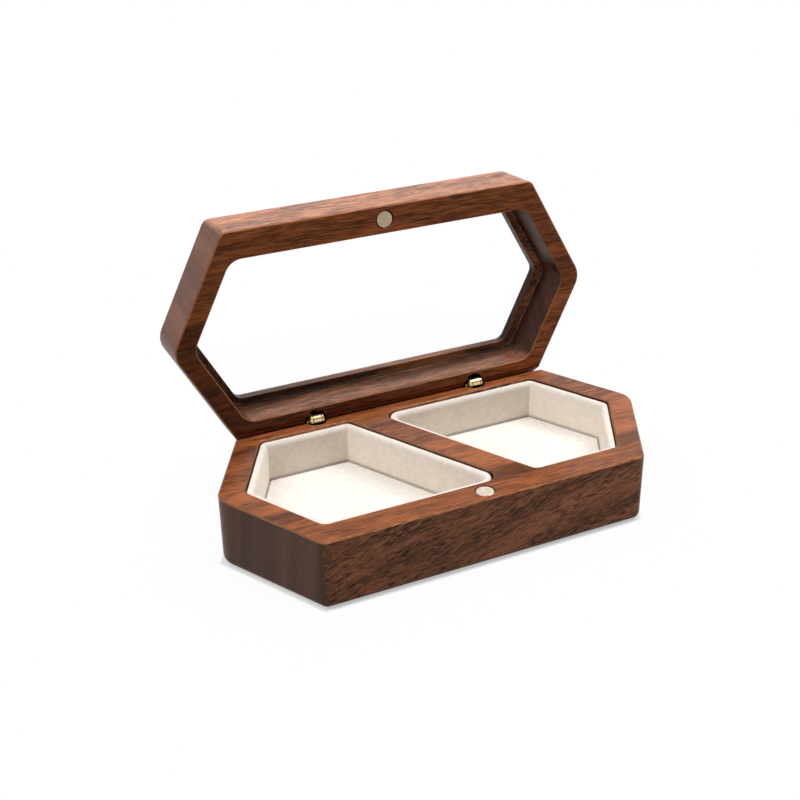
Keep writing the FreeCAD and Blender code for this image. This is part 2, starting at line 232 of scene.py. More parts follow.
class StageSettings(bpy.types.PropertyGroup):
    """Camera, lamps and floor"""
    lens: bpy.props.FloatProperty(name="Lens", description="Focal length", unit="CAMERA", default=56.86)
    azimuth: angle_setting("Azimuth", "Camera's turn round the box, from its front", -24.95)
    elevation: angle_setting("Elevation", "Camera's height angle", 27.77)
    roll: angle_setting("Roll", "Camera's lean", -0.85)
    distance: length_setting("Distance", "Camera to the point it looks at", 277.64 * MM)
    aim: bpy.props.FloatVectorProperty(
        name="Aim", description="Point the camera looks at", subtype="XYZ", unit="LENGTH",
        default=(-9.165 * MM, 0, 29.94 * MM))
    light: bpy.props.FloatProperty(name="Light", description="Strength of all softboxes", min=0, default=1.0)
    fill: share_setting("Fill", "Brightness of the room round the box", 0.083)
    floor_size: length_setting("Floor size", "Side of the square floor", 8.0)
    floor_grey: colour_setting("Floor", "Floor as it lights the box", "#8C8C8C")
    shadow: share_setting("Shadow", "Strength of the shadow on the white floor", 0.05)
    contact: share_setting("Contact shadow", "Strength of the shadow right beside the box", 0.55)


# Outlines of the compartments

def pocket_sides(side):
    """Normals and distances of the five walls of the left (-1) or right (+1) compartment.

    They start at the pointed corner. A wall is the line where normal . p = distance. The right compartment is
    the left one turned half round, but for the bar, which stands off the middle.
    """
    run = HALF_LENGTH - HALF_FRONT
    slant = math.hypot(run, HALF_WIDTH)
    end_x, end_y = HALF_WIDTH / slant, run / slant
    end = end_x * HALF_LENGTH - END_RIM
    normals = np.array([(0, -1), (end_x, end_y), (0, 1), (-end_x, end_y), (-end_x, -end_y)])
    bar = -BAR_WIDTH / 2 - side * BAR_SHIFT
    distances = np.array([HALF_WIDTH - LONG_RIM, bar, HALF_WIDTH - LONG_RIM, end, end])
    return -side * normals, distances


def rounded_outlines(normals, distances, radii):
    """Closed outlines inside straight sides, one for each row of distances and radii, and their normals.

    Corner k is an arc tangent to sides k and k + 1. Its centre is where those sides meet once both have moved
    in by the radius, and its points are centre + radius * (cos a, sin a), with a going from the first side's
    normal to the second's. The rest of a side is the straight run between its two arcs.
    """
    following = np.roll(normals, -1, axis=0)
    cross = normals[:, 0] * following[:, 1] - normals[:, 1] * following[:, 0]
    dot = (normals * following).sum(axis=1)
    first = distances - radii
    second = np.roll(distances, -1, axis=1) - radii
    centres = np.stack([
        (first * following[:, 1] - second * normals[:, 1]) / cross,
        (second * normals[:, 0] - first * following[:, 0]) / cross,
    ], axis=-1)
    start = np.arctan2(normals[:, 1], normals[:, 0])
    angles = start[:, None] + np.arctan2(cross, dot)[:, None] * np.linspace(0, 1, CORNER_POINTS)
    spokes = np.stack([np.cos(angles), np.sin(angles)], axis=-1)
    arcs = centres[:, :, None] + radii[:, :, None, None] * spokes
    leave = arcs[:, :, -1]
    arrive = np.roll(arcs[:, :, 0], -1, axis=1)
    share = np.linspace(0, 1, SIDE_POINTS + 2)[1:-1]
    runs = leave[:, :, None] + (arrive - leave)[:, :, None] * share[:, None]
    outlines = np.concatenate([arcs, runs], axis=2).reshape(len(distances), -1, 2)
    flats = np.repeat(following[:, None], SIDE_POINTS, axis=1)
    outward = np.concatenate([spokes, flats], axis=1).reshape(-1, 2)
    return outlines, outward


def lining_outlines(side, insets, fold):
    """Outlines of a compartment moved in from the wood by each inset: a round tip, four folded corners."""
    normals, distances = pocket_sides(side)
    tip = LINING_TIP - (insets - LINING_GAP)
    corners = np.maximum(POCKET_CORNER - insets, fold)
    radii = np.stack([tip] + [corners] * 4, axis=1)
    return rounded_outlines(normals, distances - insets[:, None], radii)


def quarter_turn(radius):
    """Quarter circle as steps along its first side and off its second: radius * (sin a, 1 - cos a)."""
    angle = np.linspace(0, math.pi / 2, ROUND_POINTS)
    return radius * np.sin(angle), radius * (1 - np.cos(angle))


def ripples(along, across, seed):
    """Uneven cloth, from -1 to 1: sine waves with whole turns round the loop, each with a phase and a lean."""
    rng = np.random.default_rng(seed)
    turns = np.array(WALL_TURNS)[:, None, None]
    phase = rng.uniform(0, 2 * math.pi, turns.shape)
    lean = rng.uniform(-3, 3, turns.shape)
    waves = np.sin(2 * math.pi * turns * along + lean * across + phase) / np.sqrt(turns)
    total = waves.sum(axis=0)
    return total / np.abs(total).max()


def loop_share(outline):
    """Share of the way round a closed outline at each of its points."""
    steps = np.linalg.norm(np.roll(outline, -1, axis=0) - outline, axis=1)
    return (np.cumsum(steps) - steps) / steps.sum()


# Meshes

def ring_quads(index, following):
    """Quads between two stacks of rings of vertex numbers, each ring closed on itself."""
    quads = [index, np.roll(index, -1, axis=1), np.roll(following, -1, axis=1), following]
    return np.stack(quads, axis=-1).reshape(-1, 4)


def add_piece(name, points, faces, material, body):
    """Makes a smooth mesh piece of the box from its points and faces."""
    mesh = bpy.data.meshes.new(name)
    mesh.from_pydata(points.tolist(), [], faces)
    mesh.polygons.foreach_set("use_smooth", np.ones(len(mesh.polygons), dtype=bool))
    mesh.materials.append(material)
    mesh.update()
    piece = bpy.data.objects.new(name, mesh)
    bpy.context.scene.collection.objects.link(piece)
    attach(piece, body)
    return piece


def wall_lining(side, settings):
    """Points and faces of a wall lining: its cross-section carried round the compartment.

    The section goes up the back, over a soft top edge with a small and a large round, down the face and
    back under. The face wanders in and out by the ripple.
    """
    back, face = LINING_GAP, LINING_GAP + LINING_THICKNESS
    rise, step = quarter_turn(settings.back_round)
    reach, drop = quarter_turn(settings.top_round)
    low = np.full(FACE_POINTS, face)
    down = np.linspace(LINING_TOP - settings.top_round, POCKET_FLOOR, FACE_POINTS + 1)[1:]
    insets = np.concatenate([[back], back + step, face - settings.top_round + reach, low])
    heights = np.concatenate([
        [POCKET_FLOOR], LINING_TOP - settings.back_round + rise, LINING_TOP - drop, down])
    outlines, outward = lining_outlines(side, insets, settings.fold)
    share = loop_share(outlines[0])
    front = np.clip((insets - back) / LINING_THICKNESS, 0, 1)[:, None]
    up = ((heights - POCKET_FLOOR) / (LINING_TOP - POCKET_FLOOR))[:, None]
    wander = settings.ripple * ripples(share[None], up, WALL_SEED + side)
    sag = settings.ripple * (ripples(share[None], 0 * up, SAG_SEED + side) - 1) * up ** 6
    flat = outlines + outward[None] * (wander * front)[..., None]
    points = np.concatenate([flat, (heights[:, None] + sag)[..., None]], axis=2)
    index = np.arange(points.shape[0] * points.shape[1]).reshape(points.shape[:2])
    return points.reshape(-1, 3), ring_quads(index, np.roll(index, -1, axis=0)).tolist()


def floor_pad(side, settings):
    """Points and faces of a floor pad: up its edge, over a small round, then rings shrinking to its middle.

    Height over the rings is top - crown * s squared, where s is 1 at the edge and 0 in the middle, with a
    slight ripple from crossing sine waves.
    """
    reach, rise = quarter_turn(settings.pad_round)
    edge_top = PAD_TOP - settings.pad_crown
    insets = np.concatenate([[PAD_INSET], PAD_INSET + rise])
    heights = np.concatenate([[POCKET_FLOOR], edge_top - settings.pad_round + reach])
    outlines, _ = lining_outlines(side, insets, settings.fold)
    middle = outlines[-1].mean(axis=0)
    shrink = np.linspace(1, 0, CENTRE_RINGS + 1)[1:-1, None, None]
    inner = middle + shrink * (outlines[-1] - middle)
    flat = np.concatenate([outlines, inner])
    spread = np.concatenate([np.ones(len(insets)), shrink[:, 0, 0]])
    base = np.concatenate([heights, np.full(len(inner), edge_top)])
    crown = settings.pad_crown * (1 - spread ** 2)
    ripple = 0.5 * settings.ripple * crossing_waves(flat, PAD_SEED + side) * (1 - spread ** 8)[:, None]
    points = np.concatenate([flat, ((base + crown)[:, None] + ripple)[..., None]], axis=2)
    count = points.shape[0] * points.shape[1]
    index = np.arange(count).reshape(points.shape[:2])
    poles = np.array([[*middle, POCKET_FLOOR], [*middle, PAD_TOP]])
    first, last = index[0], index[-1]
    under = np.stack([np.full_like(first, count), np.roll(first, -1), first], axis=1)
    over = np.stack([np.full_like(last, count + 1), last, np.roll(last, -1)], axis=1)
    faces = ring_quads(index[:-1], index[1:]).tolist() + under.tolist() + over.tolist()
    return np.concatenate([points.reshape(-1, 3), poles]), faces


def crossing_waves(flat, seed):
    """Uneven cloth on a flat piece, from -1 to 1: sine waves that cross it in several directions."""
    rng = np.random.default_rng(seed)
    heading = rng.uniform(0, math.pi, PAD_WAVES)
    wavelength = rng.uniform(*PAD_WAVE_LENGTHS, PAD_WAVES) * MM
    phase = rng.uniform(0, 2 * math.pi, PAD_WAVES)
    way = np.stack([np.cos(heading), np.sin(heading)]) * (2 * math.pi / wavelength)
    total = np.sin(flat @ way + phase).sum(axis=-1)
    return total / np.abs(total).max()


# Materials

SMOOTH = {"interpolation_type": "SMOOTHSTEP"}
BLEND = {"data_type": "RGBA"}
TINT = {"data_type": "RGBA", "blend_type": "MULTIPLY"}


def new_material(name):
    """An empty node material, its tree and its output."""
    material = bpy.data.materials.new(name)
    material.use_nodes = True
    tree = material.node_tree
    tree.nodes.clear()
    return material, tree, tree.nodes.new("ShaderNodeOutputMaterial")


def add_node(tree, kind, settings=None, inputs=None):
    """Adds a shader node with its settings; an input is a plain value or another node's output to link."""
    node = tree.nodes.new(f"ShaderNode{kind}")
    for key, value in (settings or {}).items():
        setattr(node, key, value)
    for key, value in (inputs or {}).items():
        if isinstance(value, bpy.types.NodeSocket):
            tree.links.new(value, node.inputs[key])
        else:
            node.inputs[key].default_value = value
    return node


def streaks(tree, place, size):
    """Noise drawn out to streaks; size is their length and their width in the two other directions."""
    scaled = add_node(tree, "VectorMath", {"operation": "DIVIDE"}, {0: place, 1: size}).outputs[0]
    return add_node(tree, "TexNoise", inputs={"Vector": scaled, "Scale": 1.0, "Detail": 1.0})


def walnut_figure(tree, timber, planed, settings, block):
    """Colour of walnut cut along its grain, its blotches, and its relief with the pores sunk in."""
    # Grain wanders up and down
    wave = streaks(tree, timber, WAVES).outputs["Color"]
    centred = add_node(tree, "VectorMath", {"operation": "SUBTRACT"}, {
        0: wave, 1: (0.5, 0.5, 0.5)}).outputs[0]
    wander = settings.wander / MM
    grain = add_node(tree, "VectorMath", {"operation": "MULTIPLY_ADD"}, {
        0: centred, 1: (0.0, wander, wander), 2: timber}).outputs[0]

    # Growth rings: distance across them, bent by slow waves
    slow = streaks(tree, timber, BENDS).outputs[0]
    across = add_node(tree, "VectorMath", {"operation": "DOT_PRODUCT"}, {
        0: grain, 1: RING_WAY}).outputs["Value"]
    bent = add_node(tree, "Math", {"operation": "MULTIPLY_ADD"}, {
        0: slow, 1: RING_BEND, 2: across}).outputs[0]
    ring = add_node(tree, "Math", {"operation": "DIVIDE"}, {
        0: bent, 1: settings.ring_spacing / MM}).outputs[0]
    bands = add_node(tree, "TexNoise", {"noise_dimensions": "1D"}, {
        "W": ring, "Scale": 1.0, "Detail": 2.0, "Roughness": 0.5}).outputs[0]

    # Bands and fibres together give the tone of the wood
    stretch = add_node(tree, "MapRange", inputs={
        "Value": planed, "To Min": block["stretch"], "To Max": LEVEL_STRETCH}).outputs[0]
    drawn = add_node(tree, "CombineXYZ", inputs={"X": stretch, "Y": 1.0, "Z": 1.0}).outputs[0]
    fibres = add_node(tree, "VectorMath", {"operation": "DIVIDE"}, {
        0: grain, 1: drawn}).outputs[0]
    coarse, fine, flecks = (streaks(tree, fibres, size).outputs[0] for size in (BLOTCHES, FIBRES, FLECKS))
    blend = 0.0
    for layer, weight in zip((bands, coarse, fine, flecks), TONE_WEIGHTS):
        blend = add_node(tree, "Math", {"operation": "MULTIPLY_ADD"}, {
            0: layer, 1: weight, 2: blend}).outputs[0]
    tone = add_node(tree, "MapRange", inputs={
        "Value": blend, "From Min": TONE_DARK, "From Max": TONE_LIGHT}).outputs[0]
    wood = add_node(tree, "Mix", BLEND, {
        0: tone, 6: opaque(settings.dark), 7: opaque(settings.light)}).outputs[2]

    # Pores: one dash in each stretched cell, in crowds, part filled on planed faces
    length, width = settings.pore_length / MM, settings.pore_width / MM
    cells = add_node(tree, "VectorMath", {"operation": "DIVIDE"}, {
        0: fibres, 1: (length, width, width)}).outputs[0]
    middle = add_node(tree, "TexVoronoi", inputs={
        "Vector": cells, "Scale": 1.0}).outputs["Distance"]
    pore = add_node(tree, "MapRange", SMOOTH, {
        "Value": middle, "From Min": 0.33, "From Max": 0.4, "To Min": 1.0, "To Max": 0.0}).outputs[0]
    crowd = add_node(tree, "MapRange", inputs={
        "Value": streaks(tree, timber, CROWDS).outputs[0], "From Min": 0.36, "From Max": 0.56,
        "To Min": 0.3, "To Max": 1.0}).outputs[0]
    filled = add_node(tree, "MapRange", inputs={
        "Value": planed, "To Min": 1.0, "To Max": 0.6}).outputs[0]
    for share in (filled, crowd):
        pore = add_node(tree, "Math", {"operation": "MULTIPLY"}, {0: pore, 1: share}).outputs[0]
    pored = add_node(tree, "Mix", BLEND, {
        0: pore, 6: wood, 7: opaque(settings.pore)}).outputs[2]
    sunk = add_node(tree, "Math", {"operation": "SUBTRACT"}, {0: fine, 1: pore}).outputs[0]
    return pored, coarse, sunk


def walnut_ends(tree, timber, settings, tint):
    """Colour of walnut's end grain: upright rings 5 mm wide, no dashes, and the tint of the oil in it, with a
    cool grey cast that is painted sheen.
    """
    place = add_node(tree, "VectorMath", {"operation": "DOT_PRODUCT"}, {
        0: timber, 1: END_RING_WAY}).outputs["Value"]
    rings = add_node(tree, "TexNoise", {"noise_dimensions": "1D"}, {
        "W": place, "Scale": 1.0, "Detail": 2.0, "Roughness": 0.45}).outputs[0]
    tone = add_node(tree, "MapRange", inputs={
        "Value": rings, "From Min": NOISE_LOW, "From Max": NOISE_HIGH,
        "To Min": 0.2, "To Max": 0.7}).outputs[0]
    wood = add_node(tree, "Mix", BLEND, {
        0: tone, 6: opaque(settings.dark), 7: opaque(settings.light)}).outputs[2]
    # Darker end grain, with a cool grey cast that is painted sheen
    return add_node(tree, "Mix", TINT, {
        0: 1.0, 6: wood, 7: opaque(linear(tint))}).outputs[2]


def hinge_bores(tree, shut):
    """1 inside the two hinge bores: within their radius and no deeper than they go, up or down."""
    apart = add_node(tree, "VectorMath", {"operation": "SUBTRACT"}, {
        0: shut, 1: BORE_MIDDLE}).outputs[0]
    folded = add_node(tree, "VectorMath", {"operation": "ABSOLUTE"}, {0: apart}).outputs[0]
    beside = add_node(tree, "VectorMath", {"operation": "SUBTRACT"}, {
        0: folded, 1: (BORE_SPACING / 2, 0.0, 0.0)}).outputs[0]
    sideways = add_node(tree, "VectorMath", {"operation": "MULTIPLY"}, {
        0: beside, 1: (1.0, 1.0, 0.0)}).outputs[0]
    radius = add_node(tree, "VectorMath", {"operation": "LENGTH"}, {0: sideways}).outputs["Value"]
    depth = add_node(tree, "SeparateXYZ", inputs={0: folded}).outputs["Z"]
    within, sunken = (
        add_node(tree, "Math", {"operation": "LESS_THAN"}, {0: value, 1: limit}).outputs[0]
        for value, limit in ((radius, BORE_RADIUS), (depth, BORE_DEPTH)))
    return add_node(tree, "Math", {"operation": "MULTIPLY"}, {0: within, 1: sunken}).outputs[0]


def oiled_walnut(name, settings, block):
    """Walnut, planed, sanded and oiled, with the traits of its block.

    The eye gets soft red-brown bands where the growth rings run out at a face, thin light and dark streaks
    of fibre, crowds of short dark pore dashes along the grain, plainer end grain with a cool grey cast of
    painted sheen, paler edges from sanding and from a painted highlight, and a satin film of oil that shows
    the white room. Painted shade darkens the level faces in part, the inward end grain in part, the level
    faces towards the back left, the hinge bores and the rounded foot; painted light makes the outer long sides
    paler.

    Traits: turn brings the block to where it is with the lid shut; slope and stretch are those of the grain
    in its upright faces; shift is its place in the tree in mm; shade is its depth of colour; then come how
    much paler painted light makes its outer long sides, and its share of painted shade towards the back left;
    end is the tint of its end grain, darker, with a cool cast of painted sheen; waxed and wax are the axis
    that its waxed faces look along and the weight of the wax.
    """
    material, tree, output = new_material(name)

    # Place and facing with the lid shut
    place = add_node(tree, "TexCoord")
    turn = (block["turn"], 0.0, 0.0)
    upright = add_node(tree, "Mapping", {"vector_type": "NORMAL"}, {
        "Vector": place.outputs["Normal"], "Rotation": turn}).outputs[0]
    shut = add_node(tree, "Mapping", inputs={
        "Vector": place.outputs["Object"], "Rotation": turn,
        "Location": HINGE_PLACE - Matrix.Rotation(block["turn"], 3, "X") @ HINGE_PLACE}).outputs[0]
    folded = add_node(tree, "VectorMath", {"operation": "ABSOLUTE"}, {0: upright}).outputs[0]
    lie = add_node(tree, "SeparateXYZ", inputs={0: folded}).outputs
    planed = add_node(tree, "MapRange", inputs={
        "Value": lie["Z"], "From Min": 0.6, "From Max": 0.9}).outputs[0]
    ends = add_node(tree, "MapRange", SMOOTH, {
        "Value": lie["X"], "From Min": 0.15, "From Max": 0.85}).outputs[0]

    # Outside or inside: whether a face looks away from the block's middle, over 3 mm
    around = add_node(tree, "VectorMath", {"operation": "MULTIPLY"}, {
        0: shut, 1: (1 / MM, 1 / MM, 0.0)}).outputs[0]
    outwards = add_node(tree, "VectorMath", {"operation": "DOT_PRODUCT"}, {
        0: upright, 1: around}).outputs["Value"]
    outside, inside = (
        add_node(tree, "MapRange", inputs={
            "Value": outwards, "From Min": low, "From Max": -low}).outputs[0]
        for low in (-3.0, 3.0))

    # Grain slopes in the upright faces and lies along the level ones
    slope = add_node(tree, "MapRange", inputs={
        "Value": planed, "To Min": block["slope"], "To Max": 0.0}).outputs[0]
    lean = add_node(tree, "CombineXYZ", inputs={"X": block["turn"], "Y": slope}).outputs[0]
    timber = add_node(tree, "Mapping", inputs={
        "Vector": place.outputs["Object"], "Location": block["shift"], "Rotation": lean,
        "Scale": (1 / MM, 1 / MM, 1 / MM)}).outputs[0]
    pored, coarse, sunk = walnut_figure(tree, timber, planed, settings, block)

    # End grain shows on the outside. The tints below darken the level faces, partly with painted shade; darken
    # end grain on inward faces, partly where a router cut it and partly with painted shade; put painted shade
    # on level faces towards the back left; give the block its depth of colour; and put painted shade inside
    # the hinge bores
    end = add_node(tree, "Math", {"operation": "MULTIPLY"}, {0: ends, 1: outside}).outputs[0]
    colour = add_node(tree, "Mix", BLEND, {
        0: end, 6: pored, 7: walnut_ends(tree, timber, settings, block["end"])}).outputs[2]
    inward_end_grain = add_node(tree, "Math", {"operation": "MULTIPLY"}, {0: ends, 1: inside}).outputs[0]
    backwards = add_node(tree, "VectorMath", {"operation": "DOT_PRODUCT"}, {
        0: shut, 1: BACK_SHADE_WAY}).outputs["Value"]
    deep = add_node(tree, "MapRange", SMOOTH, {
        "Value": backwards, "From Min": 2.0, "From Max": 20.0, "To Max": block["back_shade"]}).outputs[0]
    back_shade = add_node(tree, "Math", {"operation": "MULTIPLY"}, {0: deep, 1: planed}).outputs[0]
    tints = (
        (planed, settings.level_shade_tint),
        (back_shade, settings.back_shade_tint),
        (inward_end_grain, settings.routed_and_shaded),
        (1.0, (block["shade"],) * 3),
        (hinge_bores(tree, shut), settings.bore_shade_tint),
    )
    for share, tint in tints:
        colour = add_node(tree, "Mix", TINT, {
            0: share, 6: colour, 7: opaque(tint)}).outputs[2]

    # Painted light makes the outer long sides paler, and painted shade darkens the rounded foot over 1.6 mm
    high = add_node(tree, "SeparateXYZ", inputs={0: shut}).outputs["Z"]
    long_side, wax = (
        add_node(tree, "MapRange", SMOOTH, {
            "Value": lie[axis], "From Min": 0.6, "From Max": 0.95, "To Max": most}).outputs[0]
        for axis, most in (("Y", 1.0), (block["waxed"], block["wax"])))
    outer = add_node(tree, "Math", {"operation": "MULTIPLY"}, {
        0: long_side, 1: outside}).outputs[0]
    outer_side_light = add_node(tree, "MapRange", inputs={
        "Value": outer, "To Min": 1.0, "To Max": block["outer_side_light"]}).outputs[0]
    foot_shade = add_node(tree, "MapRange", SMOOTH, {
        "Value": high, "From Min": 0.0, "From Max": 1.6 * MM, "To Min": 0.25, "To Max": 1.0}).outputs[0]
    for scale in (outer_side_light, foot_shade):
        colour = add_node(tree, "VectorMath", {"operation": "SCALE"}, {
            0: colour, "Scale": scale}).outputs[0]

    # Edges between level and upright are made paler, partly rubbed wear and partly a painted highlight, except
    # at the foot
    squared = add_node(tree, "Math", {"operation": "POWER"}, {0: lie["Z"], 1: 2.0}).outputs[0]
    rest = add_node(tree, "Math", {"operation": "SUBTRACT"}, {0: 1.0, 1: squared}).outputs[0]
    slanted = add_node(tree, "Math", {"operation": "MULTIPLY"}, {0: squared, 1: rest}).outputs[0]
    rubbed = add_node(tree, "MapRange", SMOOTH, {
        "Value": slanted, "From Min": 0.12, "From Max": 0.25, "To Max": 0.3}).outputs[0]
    clear = add_node(tree, "Math", {"operation": "GREATER_THAN"}, {0: high, 1: 4 * MM}).outputs[0]
    wear_and_highlight = add_node(tree, "Math", {"operation": "MULTIPLY"}, {0: rubbed, 1: clear}).outputs[0]
    colour = add_node(tree, "Mix", BLEND, {
        0: wear_and_highlight, 6: colour, 7: opaque(settings.edge)}).outputs[2]

    rough = add_node(tree, "MapRange", inputs={
        "Value": coarse, "From Min": NOISE_LOW, "From Max": NOISE_HIGH,
        "To Min": settings.satin - 0.06, "To Max": settings.satin + 0.08}).outputs[0]
    relief = add_node(tree, "Bump", inputs={
        "Height": sunk, "Strength": 0.35, "Distance": 0.06 * MM}).outputs[0]
    shader = add_node(tree, "BsdfPrincipled", inputs={
        "Base Color": colour, "Roughness": rough, "Normal": relief, "IOR": 1.5, "Specular IOR Level": 0.1,
        "Coat Weight": wax, "Coat Roughness": 0.3})
    tree.links.new(shader.outputs[0], output.inputs["Surface"])
    return material


def ivory_velvet(name, settings, light, dark, turned):
    """Short-pile cotton velvet, ivory.

    The eye gets soft lighter and darker patches where the pile was brushed one way or the other, a fine
    tufted surface and a pale sheen at a low angle, with no gloss. The last argument is how far painted light
    brightens the walls that look along the box, and how dark the painted shade along the seam goes.
    """
    material, tree, output = new_material(name)
    coordinates = add_node(tree, "TexCoord")
    place = coordinates.outputs["Object"]
    brushed = add_node(tree, "TexNoise", inputs={
        "Vector": place, "Scale": 1 / settings.brushing, "Detail": 3.0, "Roughness": 0.6,
        "Distortion": 0.4}).outputs[0]
    tufts = add_node(tree, "TexNoise", inputs={
        "Vector": place, "Scale": 1 / settings.pile, "Detail": 2.0}).outputs[0]
    both = add_node(tree, "Math", {"operation": "MULTIPLY_ADD"}, {
        0: tufts, 1: 0.5, 2: brushed}).outputs[0]
    patches = add_node(tree, "MapRange", inputs={
        "Value": both, "From Min": 0.52, "From Max": 0.98, "To Max": 1.0 - turned}).outputs[0]
    # Painted light: walls whose normals lie along the box's length get more of the paler pile colour
    facing = add_node(tree, "SeparateXYZ", inputs={0: coordinates.outputs["Normal"]}).outputs["Y"]
    square = add_node(tree, "Math", {"operation": "ABSOLUTE"}, {0: facing}).outputs[0]
    sideways = add_node(tree, "MapRange", inputs={
        "Value": square, "From Min": 0.45, "From Max": 1.0, "To Min": turned, "To Max": 0.0}).outputs[0]
    lie = add_node(tree, "Math", {"operation": "ADD"}, {0: patches, 1: sideways}).outputs[0]
    pile = add_node(tree, "Mix", BLEND, {
        0: lie, 6: opaque(dark), 7: opaque(light)}).outputs[2]

    # Painted shade: a dark broken line runs along the seam between wall and floor
    height = add_node(tree, "SeparateXYZ", inputs={0: place}).outputs["Z"]
    seam = add_node(tree, "MapRange", SMOOTH, {
        "Value": height, "From Min": PAD_TOP, "From Max": PAD_TOP + SEAM_HEIGHT,
        "To Min": turned, "To Max": 0.0}).outputs[0]
    broken = add_node(tree, "Math", {"operation": "MULTIPLY"}, {0: seam, 1: tufts}).outputs[0]
    colour = add_node(tree, "Mix", BLEND, {
        0: broken, 6: pile, 7: opaque(settings.seam)}).outputs[2]
    relief = add_node(tree, "Bump", inputs={
        "Height": both, "Strength": 0.5, "Distance": 0.1 * MM}).outputs[0]
    rough = add_node(tree, "MapRange", inputs={
        "Value": tufts, "To Min": 0.9, "To Max": 1.0}).outputs[0]
    shader = add_node(tree, "BsdfPrincipled", inputs={
        "Base Color": colour, "Roughness": rough, "Normal": relief, "Specular IOR Level": 0.1,
        "Sheen Weight": 0.6, "Sheen Roughness": 0.3, "Sheen Tint": opaque(light)})
    tree.links.new(shader.outputs[0], output.inputs["Surface"])
    return material


def float_glass(settings):
    """Clear float glass with ground edges.

    The eye gets a clean view through the faces, a faint mirror image, and a thin darker line round the edge.
    Lamps shine through it.
    """
    material, tree, output = new_material("float_glass")
    place = add_node(tree, "TexCoord")
    flat = add_node(tree, "Mapping", {"vector_type": "NORMAL"}, {
        "Vector": place.outputs["Normal"], "Rotation": (LID_SWING, 0, 0)}).outputs[0]
    level = add_node(tree, "SeparateXYZ", inputs={0: flat}).outputs["Z"]
    facing = add_node(tree, "Math", {"operation": "ABSOLUTE"}, {0: level}).outputs[0]
    grit = add_node(tree, "TexNoise", inputs={
        "Vector": place.outputs["Object"], "Scale": 1 / (0.3 * MM), "Detail": 1.0}).outputs[0]
    ground = add_node(tree, "MapRange", inputs={
        "Value": grit, "From Min": NOISE_LOW, "From Max": NOISE_HIGH,
        "To Min": 0.12, "To Max": 0.25}).outputs[0]
    polished = add_node(tree, "Math", {"operation": "GREATER_THAN"}, {
        0: facing, 1: 0.9}).outputs[0]
    rough = add_node(tree, "Mix", {"data_type": "FLOAT"}, {
        0: polished, 2: ground, 3: 0.0}).outputs[0]
    tint = add_node(tree, "Mix", BLEND, {
        0: polished, 6: opaque(settings.glass_edge), 7: opaque(settings.glass)}).outputs[2]
    shader = add_node(tree, "BsdfPrincipled", inputs={
        "Base Color": tint, "Roughness": rough, "IOR": 1.5, "Specular Tint": opaque((0.2, 0.2, 0.2)),
        "Transmission Weight": 1.0})
    clear = add_node(tree, "BsdfTransparent", inputs={"Color": opaque(settings.glass)})
    ray = add_node(tree, "LightPath")
    glass = add_node(tree, "MixShader", inputs={
        0: ray.outputs["Is Shadow Ray"], 1: shader.outputs[0], 2: clear.outputs[0]})
    tree.links.new(glass.outputs[0], output.inputs["Surface"])
    return material


def mottled(name, tint, second, metallic, spots, mixed, gloss, relief):
    """A material whose tint, roughness and relief follow one noise.

    Spots are the size, detail and roughness of the noise. Mixed and gloss give two values of the noise, and
    the share of the second tint and the roughness there. Relief is the strength and the depth of the bump.
    """
    material, tree, output = new_material(name)
    place = add_node(tree, "TexCoord").outputs["Object"]
    size, detail, roughness = spots
    noise = add_node(tree, "TexNoise", inputs={
        "Vector": place, "Scale": 1 / size, "Detail": detail, "Roughness": roughness}).outputs[0]
    ends = ("From Min", "From Max", "To Min", "To Max")
    share, rough = (
        add_node(tree, "MapRange", inputs={"Value": noise, **dict(zip(ends, span))}).outputs[0]
        for span in (mixed, gloss))
    colour = add_node(tree, "Mix", TINT, {
        0: share, 6: opaque(tint), 7: opaque(linear(second))}).outputs[2]
    bump = add_node(tree, "Bump", inputs={
        "Height": noise, "Strength": relief[0], "Distance": relief[1]}).outputs[0]
    shader = add_node(tree, "BsdfPrincipled", inputs={
        "Base Color": colour, "Metallic": metallic, "Roughness": rough, "Normal": bump})
    tree.links.new(shader.outputs[0], output.inputs["Surface"])
    return material


def polished_brass(settings):
    """Brass, turned and polished.

    The eye gets sharp bright and dark reflections with a warm tint, slightly broken up by handling marks.
    """
    return mottled(
        "polished_brass", settings.brass, "#E8D9B8", 1.0, spots=(0.8 * MM, 3.0, 0.5),
        mixed=(0.0, 1.0, 0.0, 1.0), gloss=(NOISE_LOW, NOISE_HIGH, 0.1, 0.2), relief=(0.15, 0.02 * MM))


def nickel_plate(name, tint, roughness):
    """Nickel plate on a pressed magnet.

    The eye gets a satin silver disc with faint mottling and fine scratches from snapping shut.
    """
    return mottled(
        name, tint, "#CFC4B6", 1.0, spots=(0.6 * MM, 3.0, 0.6), mixed=(NOISE_LOW, NOISE_HIGH, 0.0, 0.6),
        gloss=(NOISE_LOW, NOISE_HIGH, roughness - 0.06, roughness + 0.06), relief=(0.2, 0.03 * MM))


def grey_card(settings):
    """Grey card, pressed from paper pulp.

    The eye gets a matt face with faint flecks.
    """
    return mottled(
        "grey_card", settings.card, "#D8D0C4", 0.0, spots=(0.6 * MM, 4.0, 0.5), mixed=(0.0, 1.0, 0.0, 1.0),
        gloss=(0.0, 1.0, 0.85, 0.95), relief=(0.3, 0.05 * MM))


def seen_rays(tree):
    """1 for rays that show the background itself: from the camera, in reflections and through glass."""
    ray = add_node(tree, "LightPath")
    shiny = add_node(tree, "Math", {"operation": "MAXIMUM"}, {
        0: ray.outputs["Is Camera Ray"], 1: ray.outputs["Is Glossy Ray"]}).outputs[0]
    return add_node(tree, "Math", {"operation": "MAXIMUM"}, {
        0: shiny, 1: ray.outputs["Is Transmission Ray"]}).outputs[0]


